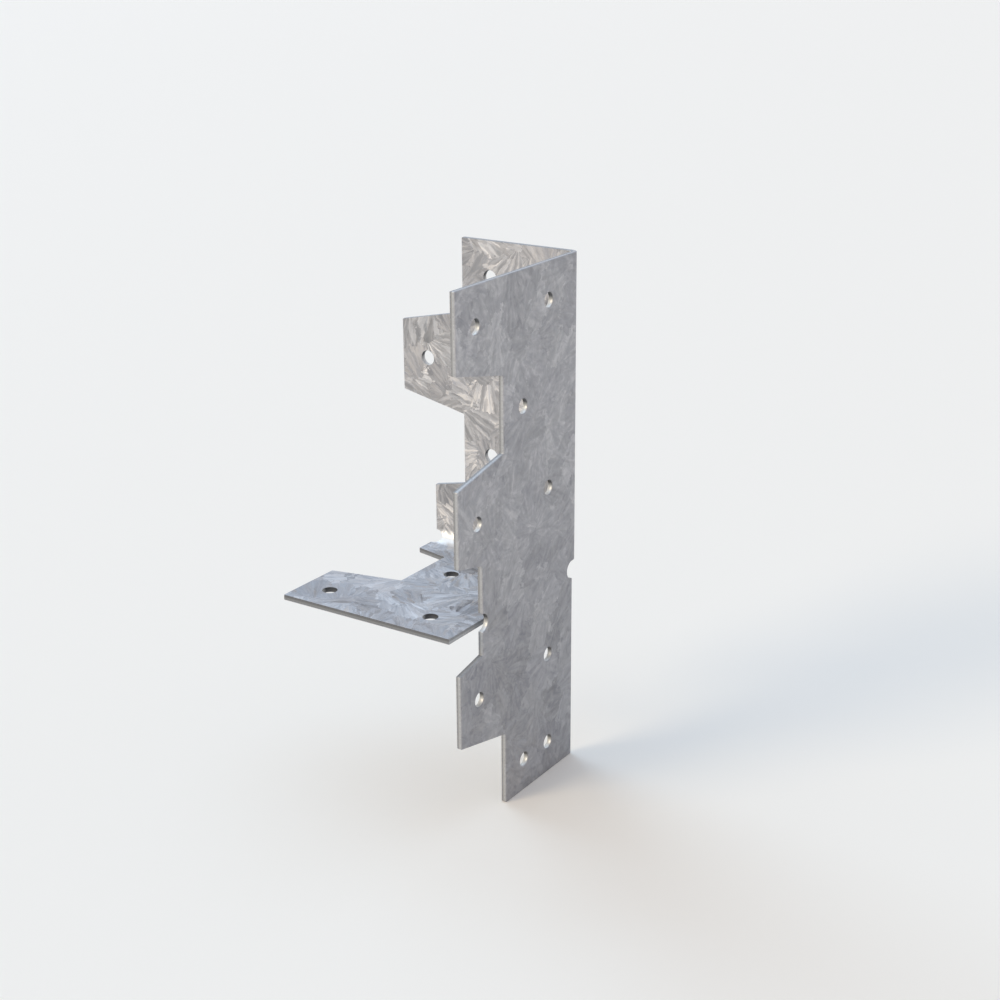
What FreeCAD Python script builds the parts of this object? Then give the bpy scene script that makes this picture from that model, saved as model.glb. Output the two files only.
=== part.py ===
import FreeCAD, Part
import math
import os
import re

import Sketcher
from FreeCAD import Placement, Rotation, Vector

# Framing angle: one stamped and folded sheet of galvanised steel, in millimetres.
# The origin is the corner where the carried member's side, the beam's side and the beam's top meet.
# The front flange lies on the beam's side (X = 0), the back flange on the carried member's side (Y = 0), and
# the flap, folded out of the back flange, on the beam's top (Z = 0).
# Widths are measured from the outer face of the other flange.

# Driving sizes, each with what it measures
SIZES = [
    ("sheet_thickness", 1.2, "18 gauge sheet with its zinc"),
    ("leg_width", 36.9, "either flange at its neck, half of the strip between two parts"),
    ("tab_reach", 8.1, "how far a tab stands out of the neck line and a notch lies inside it"),
    ("tab_pitch", 19.55, "from one tab flank to the next"),
    ("end_tab", 18.05, "from the outermost flanks to the ends of the strip"),
    ("flank_angle", 12, "taper of a tab flank, in degrees"),
    ("neck_above_bend", 13.0, "from the flap's bend line to the flank above it"),
    ("corner_inner_radius", 0.8, "inside of the fold between the flanges"),
    ("flap_inner_radius", 2.8, "inside of the flap's fold"),
    ("neutral_share", 0.42, "depth of the sheet's neutral layer from the inside of a fold"),
    ("slit_margin", 0.3, "from the corner fold to the slit's edges below it"),
    ("relief_diameter", 4.0, "round relief at each end of the flap's bend line"),
    ("hole_diameter", 3.2, "nail hole"),
    ("tab_hole_edge", 6.7, "from a tab's edge to its outer hole"),
    ("notch_hole_edge", 7.2, "from a notch's edge to its outer hole"),
    ("corner_hole_distance", 12.0, "from the corner to the nearest holes"),
    ("neck_hole_distance", 9.3, "from the neck's two flanks to the nearest row of holes"),
    ("top_hole_distance", 8.0, "from the top edge to its row of holes"),
    ("bottom_hole_distance", 7.2, "from the bottom edge to its row of holes"),
]

# Sizes that follow from them: flanks and rows are heights on the upright flanges
LAYOUT = [
    ("wide", "sizes.leg_width + sizes.tab_reach"),
    ("narrow", "sizes.leg_width - sizes.tab_reach"),
    ("rise", "sizes.tab_reach * tan(sizes.flank_angle * 1 deg)"),
    ("corner_radius", "sizes.sheet_thickness + sizes.corner_inner_radius"),
    ("slit", "corner_radius + sizes.slit_margin"),
    ("bend_top", "sizes.sheet_thickness + sizes.flap_inner_radius"),
    ("bend_neutral", "sizes.flap_inner_radius + sizes.neutral_share * sizes.sheet_thickness"),
    ("bend_middle", "bend_top - pi / 4 * bend_neutral"),
    ("relief", "sizes.relief_diameter / 2"),
    ("relief_level", "bend_top - relief"),
    # The same punched round, once it is rolled into the fold
    ("fold_relief", "bend_neutral * sin(relief / bend_neutral * 1 rad)"),
    ("flank_three", "bend_middle + sizes.neck_above_bend"),
    ("flank_two", "flank_three + sizes.tab_pitch"),
    ("flank_one", "flank_two + sizes.tab_pitch"),
    ("flank_four", "flank_three - sizes.tab_pitch"),
    ("flank_five", "flank_four - sizes.tab_pitch"),
    ("top", "flank_one + sizes.end_tab"),
    ("bottom", "flank_five - sizes.end_tab"),
    ("row_one", "top - sizes.top_hole_distance"),
    ("row_two", "(flank_one + flank_two) / 2"),
    ("row_three", "flank_three + sizes.neck_hole_distance"),
    ("row_four", "flank_four - sizes.neck_hole_distance"),
    ("row_five", "bottom + sizes.bottom_hole_distance"),
    ("hole_near", "sizes.corner_hole_distance"),
    ("hole_middle", "narrow - sizes.notch_hole_edge"),
    ("hole_far", "wide - sizes.tab_hole_edge"),
    # A level of the strip below the bend line lies this far out on the flap
    ("flap_reach", "2 * bend_middle - bottom"),
    ("flap_four", "2 * bend_middle - flank_four"),
    ("flap_five", "2 * bend_middle - flank_five"),
    ("flap_row_four", "2 * bend_middle - row_four"),
    ("flap_row_five", "2 * bend_middle - row_five"),
]

SHEET_OF = {row[0]: "sizes" for row in SIZES} | {row[0]: "layout" for row in LAYOUT}


def fill_sheet(name, rows):
    """A spreadsheet with one named row per size: a plain number with a note, or a formula."""
    sheet = doc.addObject("Spreadsheet::Sheet", name)
    for line, (alias, value, *note) in enumerate(rows, start=1):
        sheet.set("A%d" % line, alias)
        sheet.set("B%d" % line, "=" + value if isinstance(value, str) else str(value))
        sheet.setAlias("B%d" % line, alias)
        sheet.set("C%d" % line, " ".join(note))
        doc.recompute()


def named(expression):
    """The expression with its sheet written before each value."""
    return re.sub(r"[a-z_]+", lambda word: SHEET_OF[word[0]] + "." + word[0], expression)


def new_sketch(name, role):
    """A sketch on the body's own origin plane of that role."""
    sketch = body.newObject("Sketcher::SketchObject", name)
    planes = [plane for plane in body.Origin.OriginFeatures if plane.Role == role]
    sketch.AttachmentSupport = [(planes[0], "")]
    sketch.MapMode = "FlatFace"
    return sketch


def shift(sketch, **offsets):
    """Moves a sketch off its plane by expressions along its own axes."""
    for axis, expression in offsets.items():
        sketch.setExpression("AttachmentOffset.Base." + axis, named(expression))


def spot(sketch, place):
    """Where two expressions put a point of the sketch now."""
    x, y = [float(sketch.evalExpression(named(expression))) for expression in place]
    return Vector(x, y, 0)


def bind(sketch, kind, geometry, point, expression):
    """One driving constraint on a point, or on a whole circle where the point is None."""
    value = float(sketch.evalExpression(named(expression)))
    target = (geometry,) if point is None else (geometry, point)
    number = sketch.addConstraint(Sketcher.Constraint(kind, *target, value))
    sketch.setExpression("Constraints[%d]" % number, named(expression))


def arc(start, end, centre, turn):
    """The arc from start to end, which a sketch stores anticlockwise, and the numbers of its two ends."""
    angles = [math.atan2(point.y - centre.y, point.x - centre.x) for point in (start, end)]
    circle = Part.Circle(centre, Vector(0, 0, 1), (start - centre).Length)
    if turn == "left":
        return Part.ArcOfCircle(circle, *angles), (1, 2)
    return Part.ArcOfCircle(circle, *reversed(angles)), (2, 1)


def outline(sketch, corners):
    """A closed outline. A corner is (x, y), with a straight edge to the next corner, or (x, y, centre, turn),
    with an arc to it. An arc's centre is level with the corner or straight above or below it."""
    edges = []
    for (x, y, *curve), (next_x, next_y, *_) in zip(corners, corners[1:] + corners[:1]):
        start, end = spot(sketch, (x, y)), spot(sketch, (next_x, next_y))
        shape, ends = Part.LineSegment(start, end), (1, 2)
        if curve:
            shape, ends = arc(start, end, spot(sketch, curve[0]), curve[1])
        edges.append((sketch.addGeometry(shape), *ends))
    for (edge, _, end), (next_edge, next_start, _) in zip(edges, edges[1:] + edges[:1]):
        sketch.addConstraint(Sketcher.Constraint("Coincident", edge, end, next_edge, next_start))
    for (x, y, *curve), (edge, start, _) in zip(corners, edges):
        bind(sketch, "DistanceX", edge, start, x)
        bind(sketch, "DistanceY", edge, start, y)
        if curve and curve[0][0] == x:
            bind(sketch, "DistanceX", edge, 3, x)
        elif curve:
            bind(sketch, "DistanceY", edge, 3, y)


def circles(sketch, places, diameter):
    """Circles of one diameter."""
    for place in places:
        radius = float(sketch.evalExpression(named(diameter))) / 2
        number = sketch.addGeometry(Part.Circle(spot(sketch, place), Vector(0, 0, 1), radius))
        bind(sketch, "DistanceX", number, 3, place[0])
        bind(sketch, "DistanceY", number, 3, place[1])
        bind(sketch, "Diameter", number, None, diameter)


def pad(sketch, length):
    """Sheet raised from a sketch."""
    feature = body.newObject("PartDesign::Pad", sketch.Name.replace("_outline", ""))
    feature.Profile = sketch
    feature.setExpression("Length", named(length))
    doc.recompute()


def punch(sketch, length, reverse):
    """Sheet punched out by a sketch, which has to remove some of it."""
    before = body.Shape.Volume
    feature = body.newObject("PartDesign::Pocket", sketch.Name.replace("_outline", ""))
    feature.Profile = sketch
    feature.Reversed = reverse
    feature.setExpression("Length", named(length))
    doc.recompute()
    if not body.Shape.Volume < before:
        raise RuntimeError(sketch.Name + " removed nothing")


def add_flap_fold():
    """Quarter turn from the back flange to the flap."""
    centre = ("-bend_top", "bend_top")
    sketch = new_sketch("flap_fold_outline", "YZ_Plane")
    shift(sketch, z="sheet_thickness - leg_width")
    outline(sketch, [
        ("0", "bend_top", centre, "right"),
        ("-bend_top", "0"),
        ("-bend_top", "sheet_thickness", centre, "left"),
        ("-sheet_thickness", "bend_top"),
    ])
    pad(sketch, "leg_width - slit")


def punch_fold_reliefs():
    """Half-round reliefs at both ends of the flap's fold, square to the middle of the fold."""
    left_end, right_end = ("sheet_thickness - leg_width", "0"), ("sheet_thickness - slit", "0")
    sketch = new_sketch("fold_reliefs", "XY_Plane")
    sketch.AttachmentOffset = Placement(Vector(), Rotation(Vector(1, 0, 0), 45))
    shift(sketch, y="-bend_top", z="bend_top")
    outline(sketch, [(left_end[0], "-fold_relief", left_end, "left"), (left_end[0], "fold_relief")])
    outline(sketch, [(right_end[0], "fold_relief", right_end, "left"), (right_end[0], "-fold_relief")])
    punch(sketch, "bend_top", reverse=False)


def add_back_flange():
    """Upright flange on the carried member, stepped the other way round so that strips nest."""
    sketch = new_sketch("back_flange_outline", "XZ_Plane")
    outline(sketch, [
        ("sheet_thickness - corner_radius", "top"),
        ("sheet_thickness - narrow", "top"),
        ("sheet_thickness - narrow", "flank_one + rise"),
        ("sheet_thickness - wide", "flank_one - rise"),
        ("sheet_thickness - wide", "flank_two + rise"),
        ("sheet_thickness - narrow", "flank_two - rise"),
        ("sheet_thickness - narrow", "flank_three + rise"),
        ("sheet_thickness - leg_width", "flank_three"),
        ("sheet_thickness - leg_width", "bend_top"),
        ("sheet_thickness - corner_radius", "bend_top"),
    ])
    pad(sketch, "sheet_thickness")


def add_flap():
    """Level flap on the beam's top, with the rest of the back flange's stepped edge."""
    sketch = new_sketch("flap_outline", "XY_Plane")
    outline(sketch, [
        ("sheet_thickness - slit", "-bend_top"),
        ("sheet_thickness - leg_width", "-bend_top"),
        ("sheet_thickness - leg_width", "-flap_four"),
        ("sheet_thickness - narrow", "-flap_four - rise"),
        ("sheet_thickness - narrow", "rise - flap_five"),
        ("sheet_thickness - wide", "-flap_five - rise"),
        ("sheet_thickness - wide", "-flap_reach"),
        ("sheet_thickness - slit", "-flap_reach"),
    ])
    pad(sketch, "sheet_thickness")


def add_corner_fold():
    """Fold between the two flanges, from the flap's bend to the top."""
    centre = ("sheet_thickness - corner_radius", "-corner_radius")
    sketch = new_sketch("corner_fold_outline", "XY_Plane")
    shift(sketch, z="bend_top")
    outline(sketch, [
        ("sheet_thickness", "-corner_radius", centre, "left"),
        ("sheet_thickness - corner_radius", "0"),
        ("sheet_thickness - corner_radius", "-sheet_thickness", centre, "right"),
        ("0", "-corner_radius"),
    ])
    pad(sketch, "top - bend_top")


def add_front_flange():
    """Upright flange on the beam's side: its stepped free edge, and below the fold the slit's edge."""
    sketch = new_sketch("front_flange_outline", "YZ_Plane")
    outline(sketch, [
        ("-corner_radius", "top"),
        ("-wide", "top"),
        ("-wide", "flank_one + rise"),
        ("-narrow", "flank_one - rise"),
        ("-narrow", "flank_two + rise"),
        ("-wide", "flank_two - rise"),
        ("-wide", "flank_three + rise"),
        ("-leg_width", "flank_three"),
        ("-leg_width", "relief_level + relief", ("-leg_width", "relief_level"), "right"),
        ("-leg_width", "relief_level - relief"),
        ("-leg_width", "flank_four"),
        ("-wide", "flank_four - rise"),
        ("-wide", "flank_five + rise"),
        ("-narrow", "flank_five - rise"),
        ("-narrow", "bottom"),
        ("-slit", "bottom"),
        ("-slit", "relief_level - relief", ("-slit", "relief_level"), "right"),
        ("-slit", "bend_top"),
        ("-corner_radius", "bend_top"),
    ])
    pad(sketch, "sheet_thickness")


def punch_holes(name, role, places):
    """Nail holes through the sheet that starts at one of the origin planes."""
    sketch = new_sketch(name, role)
    circles(sketch, places, "hole_diameter")
    punch(sketch, "sheet_thickness", reverse=True)


def punch_nail_holes():
    """A tab holds a far and a near hole, a notch a middle one, and the front's last notch a near one too."""
    near, middle, far = ("sheet_thickness - hole_" + column for column in ("near", "middle", "far"))
    punch_holes("front_holes", "YZ_Plane", [
        ("-hole_far", "row_one"), ("-hole_near", "row_one"),
        ("-hole_middle", "row_two"),
        ("-hole_far", "row_three"), ("-hole_near", "row_three"),
        ("-hole_far", "row_four"), ("-hole_near", "row_four"),
        ("-hole_middle", "row_five"), ("-hole_near", "row_five"),
    ])
    punch_holes("back_holes", "XZ_Plane", [
        (middle, "row_one"),
        (far, "row_two"), (near, "row_two"),
        (middle, "row_three"),
    ])
    punch_holes("flap_holes", "XY_Plane", [
        (middle, "-flap_row_four"),
        (far, "-flap_row_five"), (near, "-flap_row_five"),
    ])


def check_document():
    """Stops if any object failed or the folded sheet isn't one sound solid."""
    failed = [item.Name for item in doc.Objects if {"Invalid", "Error"} & set(item.State)]
    if failed:
        raise RuntimeError("failed: " + ", ".join(failed))
    shape = body.Shape
    if shape.isNull() or not shape.isValid() or len(shape.Solids) != 1:
        raise RuntimeError("the sheet is not one valid solid")


doc = FreeCAD.newDocument("framing_angle")
fill_sheet("sizes", SIZES)
fill_sheet("layout", LAYOUT)
body = doc.addObject("PartDesign::Body", "framing_angle")
body.Label = "framing_angle"

add_flap_fold()
punch_fold_reliefs()
add_back_flange()
add_flap()
add_corner_fold()
add_front_flange()
punch_nail_holes()
doc.recompute()
check_document()

os.makedirs("parts", exist_ok=True)
body.Shape.exportStep("parts/%s.step" % body.Label)
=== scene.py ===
import math

import bpy
import numpy as np
from mathutils import Matrix, Vector
from mathutils.geometry import delaunay_2d_cdt


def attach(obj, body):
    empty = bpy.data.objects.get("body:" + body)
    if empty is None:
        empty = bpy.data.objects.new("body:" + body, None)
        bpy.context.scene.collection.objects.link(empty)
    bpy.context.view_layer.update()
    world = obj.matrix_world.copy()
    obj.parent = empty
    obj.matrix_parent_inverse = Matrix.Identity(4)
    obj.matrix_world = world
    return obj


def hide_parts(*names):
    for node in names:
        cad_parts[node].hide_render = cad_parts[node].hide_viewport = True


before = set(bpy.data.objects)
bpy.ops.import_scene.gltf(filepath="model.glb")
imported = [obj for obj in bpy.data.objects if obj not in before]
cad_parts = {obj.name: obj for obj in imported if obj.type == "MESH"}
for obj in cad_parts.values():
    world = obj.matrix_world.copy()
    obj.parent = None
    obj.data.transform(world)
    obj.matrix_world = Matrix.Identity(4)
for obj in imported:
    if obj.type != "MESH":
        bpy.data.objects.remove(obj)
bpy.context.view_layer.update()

MM = 0.001
QUARTER_TURN = math.pi / 2

# The stamped strip's sizes in millimetres, widths from the outer face of the other flange: the neck's
# width and how far tabs reach past it and notches behind it, the flanks' pitch, the height of the end
# tabs and of the neck above the bend line, the flanks' slant and half of their rise, the corner fold's
# outer radius and the slit's edge, the flap fold's outer radius, its neutral layer as a share of the
# thickness from the inside and as a radius, and the radii of reliefs and holes
THICK = 1.2
LEG, REACH = 36.9, 8.1
WIDE, NARROW = LEG + REACH, LEG - REACH
PITCH, END_TAB, NECK = 19.55, 18.05, 13.0
FLANK_ANGLE = math.radians(12)
RISE = REACH * math.tan(FLANK_ANGLE)
CORNER, SLIT = 2.0, 2.3
FOLD, NEUTRAL_SHARE = 4.0, 0.42
NEUTRAL = FOLD - THICK + NEUTRAL_SHARE * THICK
RELIEF, HOLE = 2.0, 1.6

# Holes: their distances from the corner, and their rows' from the top, from the flanks above and below
# the bend line and from the bottom
NEAR, BETWEEN, FAR = 12.0, 21.6, 38.3
TOP_ROW, NECK_ROW, BOTTOM_ROW = 8.0, 9.3, 7.2

# Half of the corner fold, rolled out, and levels of the strip, as heights on the front flange: the bend
# line, the end of the flap's fold, the flanks from the top down, both ends and the rows of holes
ARC = math.pi / 4 * (CORNER - THICK / 2)
BEND = FOLD - math.pi / 4 * NEUTRAL
FOLD_END = FOLD - QUARTER_TURN * NEUTRAL
ONE, TWO, THREE, FOUR, FIVE = BEND + NECK + PITCH * np.arange(2, -3, -1)
TOP, BOTTOM = ONE + END_TAB, FIVE - END_TAB
ROWS = (TOP - TOP_ROW, (ONE + TWO) / 2, THREE + NECK_ROW, FOUR - NECK_ROW, BOTTOM + BOTTOM_ROW)

# The cut edge, from the outer skin to the inner one: the rolled-over lip's width at the outline and at
# the holes and its depth, the depth where the smooth land ends, how far the torn slope goes back and how
# much of that half way, and the burr's size and how much of it is cut metal
LIP, BORE_LIP, LIP_DEPTH = 0.12, 0.2, 0.26
LAND_END = 0.66
TEAR, TEAR_BULGE = 0.05, 0.4
BURR, BURR_CUT = 0.05, (1, 0.9, 0.6, 0.3, 0)

# Radius of the outline's corners, and the most of an edge that one takes up
ROUND, ROUND_SHARE = 0.2, 0.45

# Steps of the mesh: lengths along edges and folds in millimetres, points on the small curves, and the
# angle of a half circle's first step
EDGE_STEP, FOLD_STEP = 1.0, 0.2
RING, HALF_RING, HALF_RING_START = 48, 21, 0.26
ROUND_STEPS, LIP_STEPS, BURR_STEPS = 7, 8, len(BURR_CUT)
CORNER_ROWS, CORNER_STEP = 13, 1.0
FLAP_ROWS, FLAP_STEP = 17, 0.75

# How far the folds' grid stays from edges, and how near to a circle a point lies on it, in millimetres
CLEAR_OF_EDGES, ON_ROUND = 0.35, 0.02

# Tolerances: an edge that crosses a fold's end, a whole number of steps, and points that are the same
CROSSING, WHOLE, SAME = 1e-9, 1e-6, 1e-7

# The two skins have different stretches of the pattern: how far apart they lie on it, the row of the cut
# edge where the inner one starts, and how many millimetres one unit of the strip's map is
INNER_SHIFT = (53.0, 157.0)
INNER_ROW = LIP_STEPS + 1
MAP_UNIT = 100.0

# How far the corner fold is burnished and gets the painted highlight, beside the flap's fold
CORNER_HIGHLIGHT = 0.6

# Painted light and shade on cut edges: round cuts get a painted highlight where they face up the strip
# and painted shade where they face down it, and straight edges that face down the strip get painted
# shade: how far, and how soon one changes to the other round a hole
ROUND_PAINTED_SHADING, EDGE_PAINTED_SHADE, PAINTED_LIGHT_CHANGE = 0.9, 0.55, 1.4

# Zinc crystals in millimetres: a grain's size and the wandering of its border, a plate's width and the
# fraying of its sides. A plate is five times as long as wide, needles are finer by two shares, and each
# grain takes its plates from another place of their pattern.
GRAIN, WANDER = 7.0, 9.0
PLATE, FRAY = 0.8, 0.7
PLATE_LENGTH, NEEDLES, SCATTER = 5.0, (2.8, 1.4, 1.0), 60.0

# Waves per millimetre: borders wander over 2.5 mm, sides fray over 0.8 mm, clouds are 11 mm across, the
# outer skin's mottle 2.5 mm, and the striations of cut edges 0.4 mm. Real striations are finer: these are
# as coarse as they need to show.
WANDER_WAVES, FRAY_WAVES, CLOUD_WAVES, MOTTLE_WAVES, SHEAR_WAVES = 0.4, 1.3, 0.09, 0.4, 2.6

# How much of the zinc's tone comes from each part of the pattern, how far grains and needles lean beside
# plates, and how far crystals lean in all
PLATE_TONE, NEEDLE_TONE, GRAIN_TONE, CLOUD_TONE = 0.28, 0.2, 0.3, 0.3
GRAIN_LEAN, NEEDLE_LEAN, LEAN = 0.9, 0.5, 0.42

# On the outer and on the inner skin: how bold and how blurred the crystals are, how mottled the zinc is
# and how far its folds are burnished and lightened by a painted highlight
BOLD, BLUR = (0.8, 1.7), (1.0, 0.35)
MOTTLED, FOLD_BURNISH_AND_HIGHLIGHT = (0.8, 0.2), (0.2, 1.0)

# The levels between which painted shade darkens the outer skin towards its lower end, and how far
LOW_SHADE_FROM, LOW_SHADE_TO, LOW_SHADE = 24.0, -14.0, 0.2

# Tones of dark and pale zinc and their roughness, and what cut, torn and burnished metal adds to it
DARK_TONE, PALE_TONE = 0.2, 0.8
DARK_ROUGH, PALE_ROUGH = 0.64, 0.54
CUT_ROUGH, TORN_ROUGH, RUBBED_ROUGH = -0.18, 0.33, -0.25

# Where the torn half of a cut edge starts and is complete, as shares of the thickness, with some
# raggedness, and where zinc gives way to bare metal on the lip
TORN_FROM, TORN_TO, TORN_RAGGED = 0.74, 0.90, 0.5
BARE_FROM, BARE_TO = 0.35, 0.85

# Half of the floor's side in metres, and the strength of the surround as light and as it is seen
FLOOR = 6.0
SURROUND_LIGHT, SURROUND_SEEN = 0.56, 0.94


def front(width):
    """Where a width on the front flange lies across the rolled-out strip."""
    return ARC + width - CORNER


def back(width):
    """Where a width on the back flange and the flap lies across the rolled-out strip."""
    return -front(width)


def half_round(centre, start):
    """Points on half of a relief's circle: the angle runs from start by half a turn to the right. The
    first and the last step are longer, which keeps them clear of the lip beside them."""
    steps = np.linspace(HALF_RING_START, math.pi - HALF_RING_START, HALF_RING)
    angle = start - np.concatenate([[0], steps, [math.pi]])
    return centre + RELIEF * np.stack([np.cos(angle), np.sin(angle)], 1)


def relief_centres():
    """Centres of the round reliefs on the strip: at the free edge and at the slit in the flap's fold, and
    then at the slit and at the free edge on the front flange."""
    level = FOLD - RELIEF
    return np.array([(back(LEG), BEND), (back(SLIT), BEND), (front(SLIT), level), (front(LEG), level)])


def strip_outline():
    """The rolled-out strip's outline, anticlockwise, as points and whether each is a corner to be
    rounded."""
    up, down = QUARTER_TURN, -QUARTER_TURN
    fold_edge, fold_slit, front_slit, front_edge = relief_centres()
    runs = [
        [(front(WIDE), TOP), (back(NARROW), TOP), (back(NARROW), ONE + RISE), (back(WIDE), ONE - RISE),
         (back(WIDE), TWO + RISE), (back(NARROW), TWO - RISE), (back(NARROW), THREE + RISE),
         (back(LEG), THREE)],
        half_round(fold_edge, up),
        [(back(LEG), FOUR), (back(NARROW), FOUR - RISE), (back(NARROW), FIVE + RISE),
         (back(WIDE), FIVE - RISE), (back(WIDE), BOTTOM), (back(SLIT), BOTTOM)],
        half_round(fold_slit, down),
        [(back(SLIT), FOLD)],
        half_round(front_slit, up),
        [(front(SLIT), BOTTOM), (front(NARROW), BOTTOM), (front(NARROW), FIVE - RISE),
         (front(WIDE), FIVE + RISE), (front(WIDE), FOUR - RISE), (front(LEG), FOUR)],
        half_round(front_edge, down),
        [(front(LEG), THREE), (front(WIDE), THREE + RISE), (front(WIDE), TWO - RISE),
         (front(NARROW), TWO + RISE), (front(NARROW), ONE - RISE), (front(WIDE), ONE + RISE)],
    ]
    corner = [np.ones(len(run), bool) for run in runs]
    for run, flags in zip(runs, corner):
        if isinstance(run, np.ndarray):
            flags[1:-1] = False
    return np.concatenate([np.asarray(run, float) for run in runs]), np.concatenate(corner)


def eased(points, corner):
    """The outline with each corner replaced by an arc of radius ROUND: a conic through both places where
    the arc leaves the edges, with the corner as its middle control point and the sine of half the
    corner's angle as its weight."""
    to_before, to_after = np.roll(points, 1, 0) - points, np.roll(points, -1, 0) - points
    long_before, long_after = (np.linalg.norm(edge, axis=1)[:, None] for edge in (to_before, to_after))
    cosine = np.sum(to_before * to_after, 1)[:, None] / (long_before * long_after)
    weight = np.sqrt((1 - cosine) / 2)
    longest = ROUND_SHARE * np.minimum(long_before, long_after)
    cut = np.minimum(ROUND * np.sqrt(1 - weight ** 2) / weight, longest)
    t = np.linspace(0, 1, ROUND_STEPS)[None, :, None]
    share = (1 - t) ** 2 + 2 * weight[:, None] * t * (1 - t) + t ** 2
    leave, join = (cut * to_before / long_before)[:, None], (cut * to_after / long_after)[:, None]
    curve = points[:, None] + ((1 - t) ** 2 * leave + t ** 2 * join) / share
    keep = np.zeros(curve.shape[:2], bool)
    keep[corner] = True
    keep[:, 0] = True
    curve[~corner, 0] = points[~corner]
    return curve[keep]


def in_flap_fold(points):
    """Whether each point of the strip lies in the flap's fold."""
    return (points[:, 0] < -ARC) & (points[:, 1] > FOLD_END) & (points[:, 1] < FOLD)


def divided(points):
    """The closed line with each edge cut into equal steps: short ones where the sheet is folded, long
    ones elsewhere."""
    for axis, level in [(0, ARC), (0, -ARC), (1, FOLD), (1, FOLD_END)]:
        start, end = points[:, axis], np.roll(points[:, axis], -1)
        crossed = (start - level) * (end - level) < -CROSSING
        share = ((level - start) / np.where(crossed, end - start, 1))[:, None]
        between = points + share * (np.roll(points, -1, 0) - points)
        points = np.stack([points, between], 1)[np.stack([np.ones_like(crossed), crossed], 1)]
    edge = np.roll(points, -1, 0) - points
    middle = points + edge / 2
    step = np.where((np.abs(middle[:, 0]) < ARC) | in_flap_fold(middle), FOLD_STEP, EDGE_STEP)
    count = np.maximum(1, np.ceil(np.linalg.norm(edge, axis=1) / step - WHOLE)).astype(int)
    first = np.repeat(np.cumsum(count) - count, count)
    share = (np.arange(count.sum()) - first) / np.repeat(count, count)
    return np.repeat(points, count, 0) + share[:, None] * np.repeat(edge, count, 0)


def punched_holes():
    """Circles, clockwise, one for each hole punched in the strip."""
    top, upper, middle, lower, bottom = ROWS
    places = np.array([
        (front(FAR), top), (front(NEAR), top), (front(BETWEEN), upper),
        (front(FAR), middle), (front(NEAR), middle), (front(FAR), lower), (front(NEAR), lower),
        (front(BETWEEN), bottom), (front(NEAR), bottom),
        (back(BETWEEN), top), (back(FAR), upper), (back(NEAR), upper), (back(BETWEEN), middle),
        (back(BETWEEN), lower), (back(FAR), bottom), (back(NEAR), bottom),
    ])
    angle = -np.linspace(0, 2 * math.pi, RING, endpoint=False)
    ring = HOLE * np.stack([np.cos(angle), np.sin(angle)], 1)
    return list(places[:, None] + ring)


def cut_profile(lip_width):
    """The cut edge's section with a lip of that width: inset, depth, the outward normal in that plane,
    and how much of it is cut metal. It is a quarter ellipse for the lip, a straight land, a straight torn
    slope and a small quarter ellipse at the burr."""
    lip = np.linspace(0, QUARTER_TURN, LIP_STEPS)
    burr = np.linspace(0, QUARTER_TURN, BURR_STEPS)
    slope_end = THICK - BURR
    inset = np.concatenate([lip_width * (np.sin(lip) - 1), [0, -TEAR * TEAR_BULGE],
                            -TEAR - BURR * (1 - np.cos(burr))])
    depth = np.concatenate([LIP_DEPTH * (1 - np.cos(lip)), [LAND_END, (LAND_END + slope_end) / 2],
                            slope_end + BURR * np.sin(burr)])
    slope = math.atan2(TEAR, slope_end - LAND_END)
    turn = np.concatenate([-np.arctan2(lip_width * np.cos(lip), LIP_DEPTH * np.sin(lip)), [slope / 2, slope],
                           np.linspace(slope, QUARTER_TURN, BURR_STEPS)])
    cut = np.concatenate([np.linspace(0, 1, LIP_STEPS) ** 2, [1, 1], BURR_CUT])
    return inset, depth, np.cos(turn), np.sin(turn), cut


def folded(across, level, depth):
    """Rolls the strip up. Past the corner fold's ends the strip lies on the front or the back flange,
    between them on a quarter circle. On the back's side, levels under the flap fold's start go round a
    second quarter circle and then straight out along the flap. Gives the places and the directions of
    across, level and depth there."""
    zero, one = np.zeros_like(across), np.ones_like(across)
    turn = np.clip((across + ARC) / (2 * ARC), 0, 1) * QUARTER_TURN
    past_front, past_back = np.maximum(across - ARC, 0), np.minimum(across + ARC, 0)
    x = THICK - CORNER + (CORNER - depth) * np.sin(turn) + past_back
    y = -CORNER + (CORNER - depth) * np.cos(turn) - past_front
    place = np.stack([x, y, level], -1)
    along_across = np.stack([np.cos(turn), -np.sin(turn), zero], -1)
    along_level = np.stack([zero, zero, one], -1)
    along_depth = np.stack([-np.sin(turn), -np.cos(turn), zero], -1)
    bend = np.clip((FOLD - level) / NEUTRAL, 0, QUARTER_TURN)
    out = np.minimum(level - FOLD_END, 0)
    flap_y = -FOLD + (FOLD - depth) * np.cos(bend) + out
    flap_z = FOLD - (FOLD - depth) * np.sin(bend)
    flap = ((across < -ARC) & (level < FOLD))[:, None]
    place = np.where(flap, np.stack([x, flap_y, flap_z], -1), place)
    along_level = np.where(flap, np.stack([zero, np.sin(bend), np.cos(bend)], -1), along_level)
    along_depth = np.where(flap, np.stack([zero, -np.cos(bend), np.sin(bend)], -1), along_depth)
    return place, along_across, along_level, along_depth


def fold_points():
    """Grid points on both folds, so that the skins bend there: rows along each fold, a few degrees
    apart."""
    levels = np.arange(FOLD + CORNER_STEP, TOP - CORNER_STEP / 2, CORNER_STEP)
    corner = np.meshgrid(np.linspace(-ARC, ARC, CORNER_ROWS), levels, indexing="ij")
    places = np.arange(back(LEG) + FLAP_STEP, back(SLIT), FLAP_STEP)
    flap = np.meshgrid(places, np.linspace(FOLD_END, FOLD, FLAP_ROWS), indexing="ij")
    return np.concatenate([np.stack(grid, -1).reshape(-1, 2) for grid in (corner, flap)])


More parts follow.
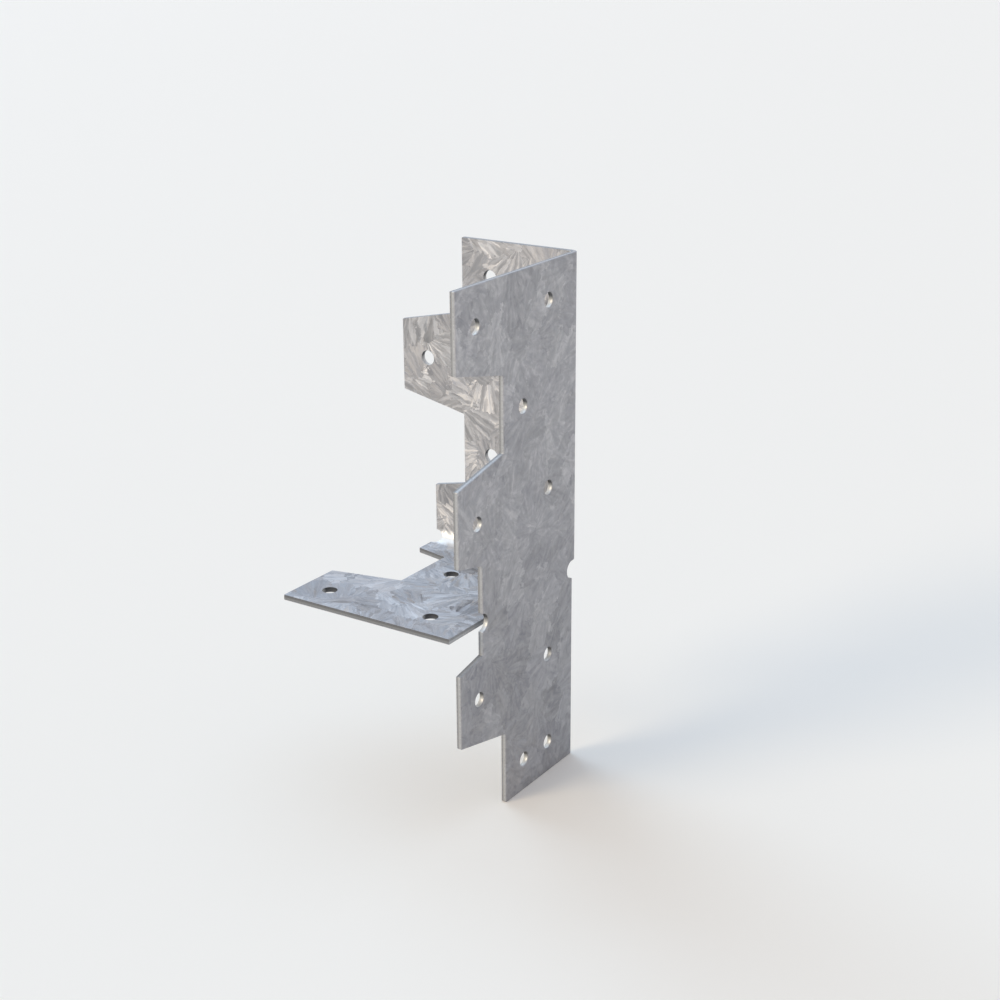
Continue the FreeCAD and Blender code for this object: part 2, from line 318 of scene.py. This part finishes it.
def inside(points, loops):
    """Even-odd test: a point is in the sheet if a level line to its right crosses the loops an odd number
    of times."""
    odd = np.zeros(len(points), bool)
    for loop in loops:
        start, end = loop[None], np.roll(loop, -1, 0)[None]
        y = points[:, 1:2]
        crosses = (start[..., 1] > y) != (end[..., 1] > y)
        rise = np.where(end[..., 1] == start[..., 1], 1, end[..., 1] - start[..., 1])
        at = start[..., 0] + (y - start[..., 1]) / rise * (end[..., 0] - start[..., 0])
        odd ^= (np.sum(crosses & (at > points[:, 0:1]), 1) % 2).astype(bool)
    return odd


def skin(loops, extra, first, numbers):
    """Triangles between the loops and through the extra points, as vertex numbers: first holds each loop
    point's number and numbers each extra point's."""
    points = np.concatenate([*loops, extra])
    index = np.concatenate([first, numbers])
    starts = np.cumsum([0] + [len(loop) for loop in loops])
    edges = [np.stack([np.arange(a, b), np.roll(np.arange(a, b), -1)], 1) for a, b in zip(starts, starts[1:])]
    made = delaunay_2d_cdt([Vector(p) for p in points], np.concatenate(edges).tolist(), [], 0, SAME)
    places, faces = np.array([tuple(p) for p in made[0]]), np.array(made[2])
    source = np.array([ids[0] for ids in made[3]])
    faces = faces[inside(places[faces].mean(1), loops)]
    return index[source[faces]]


def rim(loop, section, centres, radii):
    """The cut edge along one loop of the strip: the section carried along the loop, square to it. For
    each loop point and each step of the section it gives nine values: across, level, depth, the outward
    normal in those three, how far it is cut, how much of it takes painted light and shade, and how far
    that is painted light rather than shade. Round cuts are those on the circles of the given centres and
    radii. They take painted light and shade all round, lit by how far they face up the strip, and other
    edges take painted shade by the square of how far they face down it."""
    inset, depth, out, deep, cut = section
    run = np.roll(loop, -1, 0) - np.roll(loop, 1, 0)
    run /= np.linalg.norm(run, axis=1)[:, None]
    side = np.stack([run[:, 1], -run[:, 0]], 1)
    up = side[:, 1:]
    far = np.linalg.norm(loop[:, None] - centres[None], axis=2) - radii
    on_round = np.min(np.abs(far), 1)[:, None] < ON_ROUND
    # Painted light and shade on the cut edge: how much of it takes them, then how far it is painted light,
    # facing up the strip, rather than painted shade, facing down
    painted_shading_share = np.where(on_round, ROUND_PAINTED_SHADING, EDGE_PAINTED_SHADE * np.minimum(up, 0) ** 2)
    painted_light_share = np.clip(0.5 + PAINTED_LIGHT_CHANGE * up, 0, 1)
    place = loop[:, None] + side[:, None] * inset[None, :, None]
    normal = side[:, None] * out[None, :, None]
    columns = [place[..., 0], place[..., 1], depth[None],
               normal[..., 0], normal[..., 1], deep[None],
               cut[None], painted_shading_share, painted_light_share]
    return np.stack(np.broadcast_arrays(*columns), -1)


def sheet_piece():
    """The folded sheet as one closed mesh: the cut edge along every loop of the rolled-out strip, a skin
    on each side, and all of it rolled up by the folds. Its map is the strip in units of MAP_UNIT, with
    the inner skin's part moved along. Its attributes say how deep in the sheet a point lies, from 0
    outside to 1 inside, how far it is cut, how much of its cut edge takes painted light and shade and
    how far that is painted light rather than shade, and how far it is bent: a cosine across the corner
    fold, a sine across the flap's, which marks where the folds get their painted highlight."""
    holes = punched_holes()
    loops = [divided(eased(*strip_outline())), *holes]
    centres = np.concatenate([relief_centres(), [hole.mean(0) for hole in holes]])
    radii = np.array([RELIEF] * len(relief_centres()) + [HOLE] * len(holes))
    sections = [cut_profile(LIP)] + [cut_profile(BORE_LIP)] * len(holes)
    rims = [rim(loop, section, centres, radii) for loop, section in zip(loops, sections)]
    steps = rims[0].shape[1]
    starts = np.cumsum([0] + [len(loop) * steps for loop in loops])
    numbers = [start + np.arange(len(loop) * steps).reshape(-1, steps) for start, loop in zip(starts, loops)]
    quads = []
    for here in numbers:
        ahead = np.roll(here, -1, 0)
        quads.append(np.stack([here[:, :-1], ahead[:, :-1], ahead[:, 1:], here[:, 1:]], 2).reshape(-1, 4))
    quads = np.concatenate(quads)
    extra = fold_points()
    gap = np.min(np.linalg.norm(extra[:, None] - np.concatenate(loops)[None], axis=2), 1)
    extra = extra[(gap > CLEAR_OF_EDGES) & inside(extra, loops)]
    points = [part.reshape(-1, part.shape[2]) for part in rims]
    skins = []
    for column, facing in ((0, -1), (steps - 1, 1)):
        rings = [part[:, column, :2] for part in rims]
        first = np.concatenate([number[:, column] for number in numbers])
        faces = skin(rings, extra, first, sum(map(len, points)) + np.arange(len(extra)))
        skins.append(faces[:, ::facing])
        on_skin = np.zeros((len(extra), points[0].shape[1]))
        on_skin[:, :2] = extra
        on_skin[:, 2] = rims[0][0, column, 2]
        on_skin[:, 5] = facing
        points.append(on_skin)
    outer, inner = skins
    points = np.concatenate(points)
    flat, normal = points[:, :3], points[:, 3:6]
    cut, painted_shading_share, painted_light_share = points[:, 6:].T
    place, across, level, deep_way = folded(*flat.T)
    facing = normal[:, :1] * across + normal[:, 1:2] * level + normal[:, 2:] * deep_way
    mesh = bpy.data.meshes.new("folded_sheet")
    mesh.from_pydata((place * MM).tolist(), [], quads.tolist() + outer.tolist() + inner.tolist())
    mesh.polygons.foreach_set("use_smooth", np.ones(len(mesh.polygons), bool))
    corner_vertex = np.concatenate([quads.ravel(), outer.ravel(), inner.ravel()])
    inner_quads = np.tile(np.arange(steps - 1) >= INNER_ROW, len(quads) // (steps - 1))
    on_inner = [np.repeat(inner_quads, 4), np.zeros(outer.size, bool), np.ones(inner.size, bool)]
    shift = np.concatenate(on_inner)[:, None] * np.array([INNER_SHIFT])
    mapped = (flat[corner_vertex, :2] + shift) / MAP_UNIT
    mesh.uv_layers.new(name="strip").data.foreach_set("uv", mapped.astype(np.float32).ravel())
    # The folds' mask for the painted highlight, weaker across the corner fold
    bent = np.where(np.abs(flat[:, 0]) < ARC, CORNER_HIGHLIGHT * np.cos(flat[:, 0] / ARC * QUARTER_TURN), 0)
    bent = np.where(in_flap_fold(flat), np.sin((FOLD - flat[:, 1]) / NEUTRAL * 2), bent)
    attributes = {"cut": cut, "depth": flat[:, 2] / THICK, "bent": bent, "painted_shading_share": painted_shading_share, "painted_light_share": painted_light_share}
    for name, values in attributes.items():
        mesh.attributes.new(name, "FLOAT", "POINT").data.foreach_set("value", values.astype(np.float32))
    mesh.validate()
    mesh.normals_split_custom_set_from_vertices(facing.tolist())
    piece = bpy.data.objects.new("folded_sheet", mesh)
    bpy.context.scene.collection.objects.link(piece)
    return piece


def linear(colour):
    """An sRGB hex colour as linear red, green, blue and full alpha."""
    parts = [int(colour[i:i + 2], 16) / 255 for i in (1, 3, 5)]
    return (*(c / 12.92 if c <= 0.04045 else ((c + 0.055) / 1.055) ** 2.4 for c in parts), 1.0)


def add(tree, kind, inputs=(), **settings):
    """Adds a node, makes its settings, and fills its inputs: a socket is linked, any other value is set.
    Gives its outputs."""
    made = tree.nodes.new(kind)
    for name, value in settings.items():
        setattr(made, name, value)
    for key, value in dict(inputs).items():
        if isinstance(value, bpy.types.NodeSocket):
            tree.links.new(value, made.inputs[key])
        else:
            made.inputs[key].default_value = value
    return made.outputs


def new_material(name):
    """A material with its node tree and the sockets of its principled shader."""
    material = bpy.data.materials.new(name)
    material.use_nodes = True
    tree = material.node_tree
    return material, tree, tree.nodes["Principled BSDF"].inputs


def leaves(tree, place, ragged, blur):
    """The zinc's crystals. Each grain is a ragged cell with its own turn. Long thin plates fan out
    through it from a root beside it, as on a palm leaf, and finer needles run along them: they are cells
    in the angle and the distance from that root. Gives the chance colours of the grain, the plate and the
    needle."""
    cell = add(tree, "ShaderNodeTexVoronoi", {"Vector": ragged, "Scale": 1 / GRAIN}, voronoi_dimensions="2D")
    chance = add(tree, "ShaderNodeSeparateColor", {0: cell["Color"]})
    local = add(tree, "ShaderNodeVectorMath", {0: place, 1: cell["Position"]}, operation="SUBTRACT")
    turn = add(tree, "ShaderNodeMath", {0: chance[0], 1: 2 * math.pi}, operation="MULTIPLY")
    turned = add(tree, "ShaderNodeVectorRotate", {"Vector": local[0], "Angle": turn[0]},
                 rotation_type="Z_AXIS")
    rooted = add(tree, "ShaderNodeVectorMath", {0: turned[0], 1: (GRAIN, 0, 0)}, operation="ADD")
    spot = add(tree, "ShaderNodeSeparateXYZ", {0: rooted[0]})
    angle = add(tree, "ShaderNodeMath", {0: spot[1], 1: spot[0]}, operation="ARCTAN2")
    far = add(tree, "ShaderNodeVectorMath", {0: rooted[0]}, operation="LENGTH")
    fan = add(tree, "ShaderNodeCombineXYZ", {0: angle[0], 1: far["Value"]})
    plate_size = (GRAIN / PLATE, 1 / (PLATE_LENGTH * PLATE), 1)
    sized = add(tree, "ShaderNodeMapping", {0: fan[0], "Scale": plate_size})
    plates = add(tree, "ShaderNodeVectorMath", {0: cell["Color"], 1: (SCATTER, SCATTER, 0), 2: sized[0]},
                 operation="MULTIPLY_ADD")
    plate = add(tree, "ShaderNodeTexVoronoi", {"Vector": plates[0], "Scale": 1.0, "Smoothness": blur},
                voronoi_dimensions="2D", feature="SMOOTH_F1")
    needles = add(tree, "ShaderNodeMapping", {0: plates[0], "Scale": NEEDLES})
    needle = add(tree, "ShaderNodeTexVoronoi", {"Vector": needles[0], "Scale": 1.0, "Smoothness": blur},
                 voronoi_dimensions="2D", feature="SMOOTH_F1")
    return cell["Color"], plate["Color"], needle["Color"]


def galvanised_steel():
    """Mild steel sheet, galvanised by dipping in molten zinc. The zinc froze in leafy crystals, each of
    which leans and reflects a little differently, so the eye sees a grey feather pattern with a satin
    gloss. It is crisp and bold on the inner skin, and softer and mottled on the outer skin, which has
    painted shade darkening it towards its lower end. The sheet was stamped and folded afterwards. Cut
    edges are bare and striated, with a smooth bright land and a dull, darker torn half. Round cuts have a
    painted highlight where they face up the strip and painted shade where they face down, edges that face
    down the strip have painted shade, and inside the folds the zinc is burnished and lightened nearly to
    white as a painted highlight."""
    material, tree, shader = new_material("galvanised_steel")
    strip = add(tree, "ShaderNodeUVMap", uv_map="strip")
    bent, cut, depth, painted_shading_share, painted_light_share = (add(tree, "ShaderNodeAttribute", attribute_name=name)["Fac"]
                                         for name in ("bent", "cut", "depth", "painted_shading_share", "painted_light_share"))
    bold, blur, mottled, fold_burnish_and_highlight = (add(tree, "ShaderNodeMapRange", {0: depth, 3: outer, 4: inner})[0]
                                    for outer, inner in (BOLD, BLUR, MOTTLED, FOLD_BURNISH_AND_HIGHLIGHT))
    place = add(tree, "ShaderNodeMapping", {0: strip[0], "Scale": (MAP_UNIT, MAP_UNIT, MAP_UNIT)})

    # The crystals, from borders that wander and sides that fray
    wander = add(tree, "ShaderNodeTexNoise", {"Vector": place[0], "Scale": WANDER_WAVES, "Detail": 3.0,
                                              "Roughness": 0.65})
    drift = add(tree, "ShaderNodeVectorMath", {0: wander["Color"], 1: (0.5, 0.5, 0.5)}, operation="SUBTRACT")
    ragged = add(tree, "ShaderNodeVectorMath", {0: drift[0], 1: (WANDER, WANDER, 0), 2: place[0]},
                 operation="MULTIPLY_ADD")
    fray = add(tree, "ShaderNodeTexNoise", {"Vector": place[0], "Scale": FRAY_WAVES, "Detail": 2.0})
    fray = add(tree, "ShaderNodeVectorMath", {0: fray["Color"], 1: (FRAY, FRAY, 0), 2: place[0]},
               operation="MULTIPLY_ADD")
    grain, plate, needle = leaves(tree, fray[0], ragged[0], blur)
    grain_chance, plate_chance, needle_chance = (add(tree, "ShaderNodeSeparateColor", {0: chance})
                                                 for chance in (grain, plate, needle))

    # Their tone, with clouds, mottle and painted shade at the lower end
    cloud = add(tree, "ShaderNodeTexNoise", {"Vector": place[0], "Scale": CLOUD_WAVES, "Detail": 3.0})
    middle = (PLATE_TONE + NEEDLE_TONE + GRAIN_TONE + CLOUD_TONE) / 2
    tone = add(tree, "ShaderNodeMath", {0: plate_chance[0], 1: PLATE_TONE, 2: -middle},
               operation="MULTIPLY_ADD")
    others = ((needle_chance[0], NEEDLE_TONE), (grain_chance[1], GRAIN_TONE), (cloud[0], CLOUD_TONE))
    for chance, weight in others:
        tone = add(tree, "ShaderNodeMath", {0: chance, 1: weight, 2: tone[0]}, operation="MULTIPLY_ADD")
    tone = add(tree, "ShaderNodeMath", {0: tone[0], 1: bold, 2: 0.5}, operation="MULTIPLY_ADD")
    mottle = add(tree, "ShaderNodeTexNoise", {"Vector": place[0], "Scale": MOTTLE_WAVES, "Detail": 3.0,
                                              "Roughness": 0.6, "Distortion": 1.5})
    patch = add(tree, "ShaderNodeMath", {0: mottle[0], 1: 0.5}, operation="SUBTRACT")
    tone = add(tree, "ShaderNodeMath", {0: patch[0], 1: mottled, 2: tone[0]}, operation="MULTIPLY_ADD")
    spot = add(tree, "ShaderNodeSeparateXYZ", {0: place[0]})
    # Painted shade: the outer skin darkens towards its lower end
    painted_low_shade = add(tree, "ShaderNodeMapRange", {0: spot[1], 1: LOW_SHADE_FROM, 2: LOW_SHADE_TO, 3: 0.0, 4: LOW_SHADE},
               interpolation_type="SMOOTHSTEP")
    tone = add(tree, "ShaderNodeMath", {0: tone[0], 1: painted_low_shade[0]}, operation="SUBTRACT")
    zinc = add(tree, "ShaderNodeValToRGB", {0: tone[0]})
    ramp = tree.nodes[-1].color_ramp
    ramp.elements[0].color = linear("#8f9095")
    ramp.elements[1].color = linear("#d8d7d8")
    ramp.elements.new(0.5).color = linear("#b0b0b3")
    # Painted highlight: the folds are lightened nearly to white, partly burnish and mostly painted highlight
    burnish_and_highlight = add(tree, "ShaderNodeMath", {0: bent, 1: fold_burnish_and_highlight}, operation="MULTIPLY")
    skin_colour = add(tree, "ShaderNodeMix", {"Factor": burnish_and_highlight[0], "A": zinc[0], "B": linear("#f4f4f2")},
                      data_type="RGBA")

    # The cut edge: land and torn half, and painted light and shade on it
    shear = add(tree, "ShaderNodeTexNoise", {"Vector": place[0], "Scale": SHEAR_WAVES, "Detail": 3.0,
                                             "Roughness": 0.65})
    break_line = add(tree, "ShaderNodeMath", {0: shear[0], 1: TORN_RAGGED, 2: depth},
                     operation="MULTIPLY_ADD")
    torn = add(tree, "ShaderNodeMapRange", {0: break_line[0], 1: TORN_FROM, 2: TORN_TO})
    land, tear = (add(tree, "ShaderNodeMix", {"Factor": shear[0], "A": linear(dark), "B": linear(pale)},
                      data_type="RGBA")["Result"]
                  for dark, pale in (("#8f9194", "#d0d1d2"), ("#6c6e72", "#b8b9ba")))
    edge = add(tree, "ShaderNodeMix", {"Factor": torn[0], "A": land, "B": tear}, data_type="RGBA")
    # Painted shade (dark) and painted highlight (pale) on cut edges, chosen by how far they face up the strip
    painted_edge_shading = add(tree, "ShaderNodeMix", {"Factor": painted_light_share, "A": linear("#3c3d40"),
                                          "B": linear("#d6d6d4")}, data_type="RGBA")
    edge = add(tree, "ShaderNodeMix", {"Factor": painted_shading_share, "A": edge["Result"], "B": painted_edge_shading["Result"]},
               data_type="RGBA")
    bare = add(tree, "ShaderNodeMapRange", {0: cut, 1: BARE_FROM, 2: BARE_TO})
    colour = add(tree, "ShaderNodeMix", {"Factor": bare[0], "A": skin_colour["Result"], "B": edge["Result"]},
                 data_type="RGBA")
    tree.links.new(colour["Result"], shader["Base Color"])

    # The gloss: pale zinc is a little smoother than dark zinc
    rough = add(tree, "ShaderNodeMapRange", {0: tone[0], 1: DARK_TONE, 2: PALE_TONE, 3: DARK_ROUGH,
                                             4: PALE_ROUGH})
    dull = add(tree, "ShaderNodeMath", {0: torn[0], 1: bare[0]}, operation="MULTIPLY")
    for share, change in ((bare[0], CUT_ROUGH), (dull[0], TORN_ROUGH), (burnish_and_highlight[0], RUBBED_ROUGH)):
        rough = add(tree, "ShaderNodeMath", {0: share, 1: change, 2: rough[0]}, operation="MULTIPLY_ADD")
    tree.links.new(rough[0], shader["Roughness"])
    shader["Metallic"].default_value = 0.4

    # Each crystal leans its own way, and cut edges have striations
    normal = add(tree, "ShaderNodeNewGeometry")
    lean = plate
    for chance, weight in ((grain, GRAIN_LEAN), (needle, NEEDLE_LEAN)):
        lean = add(tree, "ShaderNodeVectorMath", {0: chance, 1: (weight,) * 3, 2: lean},
                   operation="MULTIPLY_ADD")[0]
    middle = (1 + GRAIN_LEAN + NEEDLE_LEAN) / 2
    lean = add(tree, "ShaderNodeVectorMath", {0: lean, 1: (middle,) * 3}, operation="SUBTRACT")
    flattened = add(tree, "ShaderNodeMath", {0: bare[0], 1: burnish_and_highlight[0]}, operation="MAXIMUM")
    leaning = add(tree, "ShaderNodeMapRange", {0: flattened[0], 3: LEAN, 4: 0.0})
    leaning = add(tree, "ShaderNodeMath", {0: leaning[0], 1: bold}, operation="MULTIPLY")
    tilted = add(tree, "ShaderNodeVectorMath", {0: lean[0], 1: leaning[0], 2: normal["Normal"]},
                 operation="MULTIPLY_ADD")
    tilted = add(tree, "ShaderNodeVectorMath", {0: tilted[0]}, operation="NORMALIZE")
    ridges = add(tree, "ShaderNodeMath", {0: shear[0], 1: bare[0]}, operation="MULTIPLY")
    rippled = add(tree, "ShaderNodeBump", {"Height": ridges[0], "Normal": tilted[0], "Strength": 0.5,
                                           "Distance": 0.08 * MM})
    tree.links.new(rippled[0], shader["Normal"])
    return material


def pale_floor():
    """A matt pale painted board under the part, even and without gloss."""
    material, _, shader = new_material("pale_floor")
    shader["Base Color"].default_value = linear("#fdf5ea")
    shader["Roughness"].default_value = 0.9
    mesh = bpy.data.meshes.new("floor")
    low = BOTTOM * MM
    corners = [(-FLOOR, -FLOOR, low), (FLOOR, -FLOOR, low), (FLOOR, FLOOR, low), (-FLOOR, FLOOR, low)]
    mesh.from_pydata(corners, [], [(0, 1, 2, 3)])
    mesh.materials.append(material)
    floor = bpy.data.objects.new("floor", mesh)
    bpy.context.scene.collection.objects.link(floor)


def camera():
    """The photograph's camera: where it stands in millimetres, its turn from the Y axis, its tilt down
    and its roll."""
    eye = Vector((179.53, -298.59, 141.76)) * MM
    yaw, tilt, roll = (math.radians(angle) for angle in (33.620, 19.695, 0.413))
    level = Matrix.Rotation(yaw, 4, "Z") @ Matrix.Rotation(QUARTER_TURN - tilt, 4, "X")
    data = bpy.data.cameras.new("camera")
    data.lens, data.sensor_width = 61.70, 36.0
    data.clip_start, data.clip_end = 0.01, 50
    made = bpy.data.objects.new("camera", data)
    made.matrix_world = Matrix.Translation(eye) @ level @ Matrix.Rotation(-roll, 4, "Z")
    bpy.context.scene.collection.objects.link(made)
    bpy.context.scene.camera = made


def far_lamp(name, towards, spread, power, colour):
    """A lamp far away in that direction, which looks as many degrees wide as its spread."""
    data = bpy.data.lights.new(name, "SUN")
    data.angle, data.energy, data.color = math.radians(spread), power, linear(colour)[:3]
    lamp = bpy.data.objects.new(name, data)
    lamp.matrix_world = Vector(towards).to_track_quat("Z", "Y").to_matrix().to_4x4()
    bpy.context.scene.collection.objects.link(lamp)


def light():
    """A soft warm key lamp from the front left, a wide cool one above, a cool one on the left and an even
    pale surround, which is nearly white to the eye and in reflections."""
    far_lamp("key", (-0.46, -0.80, 0.40), 26, 1.34, "#ffeecf")
    far_lamp("top", (-0.2, 0.1, 1.0), 80, 0.9, "#a4d4fc")
    far_lamp("side", (-0.83, 0.34, 0.44), 40, 1.1, "#bddcf8")
    world = bpy.data.worlds.new("surround")
    world.use_nodes = True
    tree = world.node_tree
    surround = tree.nodes["Background"].inputs
    ray = add(tree, "ShaderNodeLightPath")
    colour = add(tree, "ShaderNodeMix", {"Factor": ray["Is Camera Ray"], "A": linear("#f4f1f5"),
                                         "B": linear("#f6f6f7")}, data_type="RGBA")
    tree.links.new(colour["Result"], surround["Color"])
    seen = add(tree, "ShaderNodeMath", {0: ray["Is Camera Ray"], 1: ray["Is Glossy Ray"]}, operation="ADD")
    seen = add(tree, "ShaderNodeMath", {0: seen[0], 1: ray["Is Transmission Ray"]}, operation="ADD",
               use_clamp=True)
    strength = add(tree, "ShaderNodeMapRange", {0: seen[0], 3: SURROUND_LIGHT, 4: SURROUND_SEEN})
    tree.links.new(strength[0], surround["Strength"])
    bpy.context.scene.world = world


sheet = sheet_piece()
sheet.data.materials.append(galvanised_steel())
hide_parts("framing_angle")
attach(sheet, "root")
pale_floor()
camera()
light()
bpy.context.scene.view_settings.view_transform = "Standard"

bpy.context.view_layer.update()
